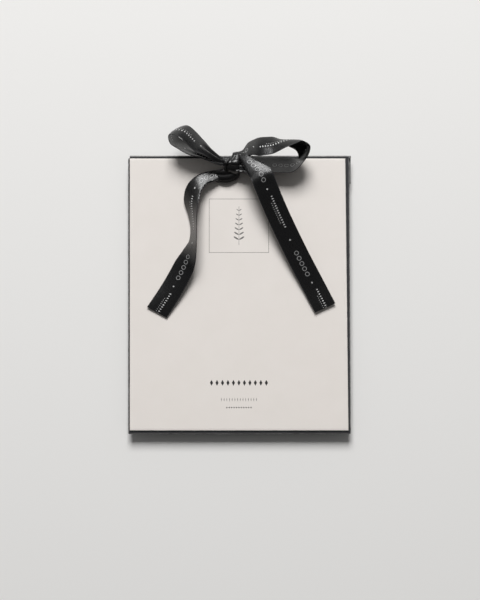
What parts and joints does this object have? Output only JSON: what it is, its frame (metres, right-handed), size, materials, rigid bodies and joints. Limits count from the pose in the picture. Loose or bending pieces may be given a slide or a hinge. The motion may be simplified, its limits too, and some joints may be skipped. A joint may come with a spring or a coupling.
{
  "type": "scented sachet",
  "caption": "Flat scented sachet: a filled pouch in a folded black paper bag with a pale front card, closed by a black satin ribbon bow threaded through a punched hole.",
  "frame": {"origin": "on the flat back of the bag, which it lies on, at the middle of the bag's width and height", "axes": "+Z out of the front card, +Y to the top edge where the bow is, +X to the right seen from the front"},
  "size_m": [0.12, 0.1652, 0.025],
  "materials": {
    "black_paper": "uncoated black kraft paper with a faint sheen on its folds",
    "pale_card": "matt warm off-white card with thin grey line print",
    "pouch_paper": "porous white tissue paper",
    "granules": "light expanded mineral granules, matt",
    "black_satin": "woven black satin ribbon with a soft sheen and small white printed marks"
  },
  "bodies": {
    "packet": {"bag_body": "black_paper", "bag_flap": "black_paper", "front_card": "pale_card", "pouch_front": "pouch_paper", "pouch_back": "pouch_paper", "scent_filling": "granules", "ribbon_thread": "black_satin", "bow_knot": "black_satin"},
    "left_loop": {"bow_left_loop": "black_satin"},
    "right_loop": {"bow_right_loop": "black_satin"},
    "left_tail": {"bow_left_tail": "black_satin"},
    "right_tail": {"bow_right_tail": "black_satin"}
  },
  "joints": [
    {"name": "left_loop_swing", "type": "hinge", "parent": "packet", "child": "left_loop", "pos_m": [-0.006, 0.072, 0.0109], "axis": [0, 0, -1], "range_deg": [0, 12]},
    {"name": "right_loop_swing", "type": "hinge", "parent": "packet", "child": "right_loop", "pos_m": [-0.006, 0.072, 0.0109], "axis": [0, 0, 1], "range_deg": [0, 12]},
    {"name": "left_tail_lift", "type": "hinge", "parent": "packet", "child": "left_tail", "pos_m": [-0.014, 0.065, 0.012], "axis": [-0.9207, 0.3903, 0], "range_deg": [0, 60]},
    {"name": "right_tail_lift", "type": "hinge", "parent": "packet", "child": "right_tail", "pos_m": [0.0015, 0.0774, 0.018], "axis": [-0.8974, -0.4412, 0], "range_deg": [0, 60]}
  ]
}
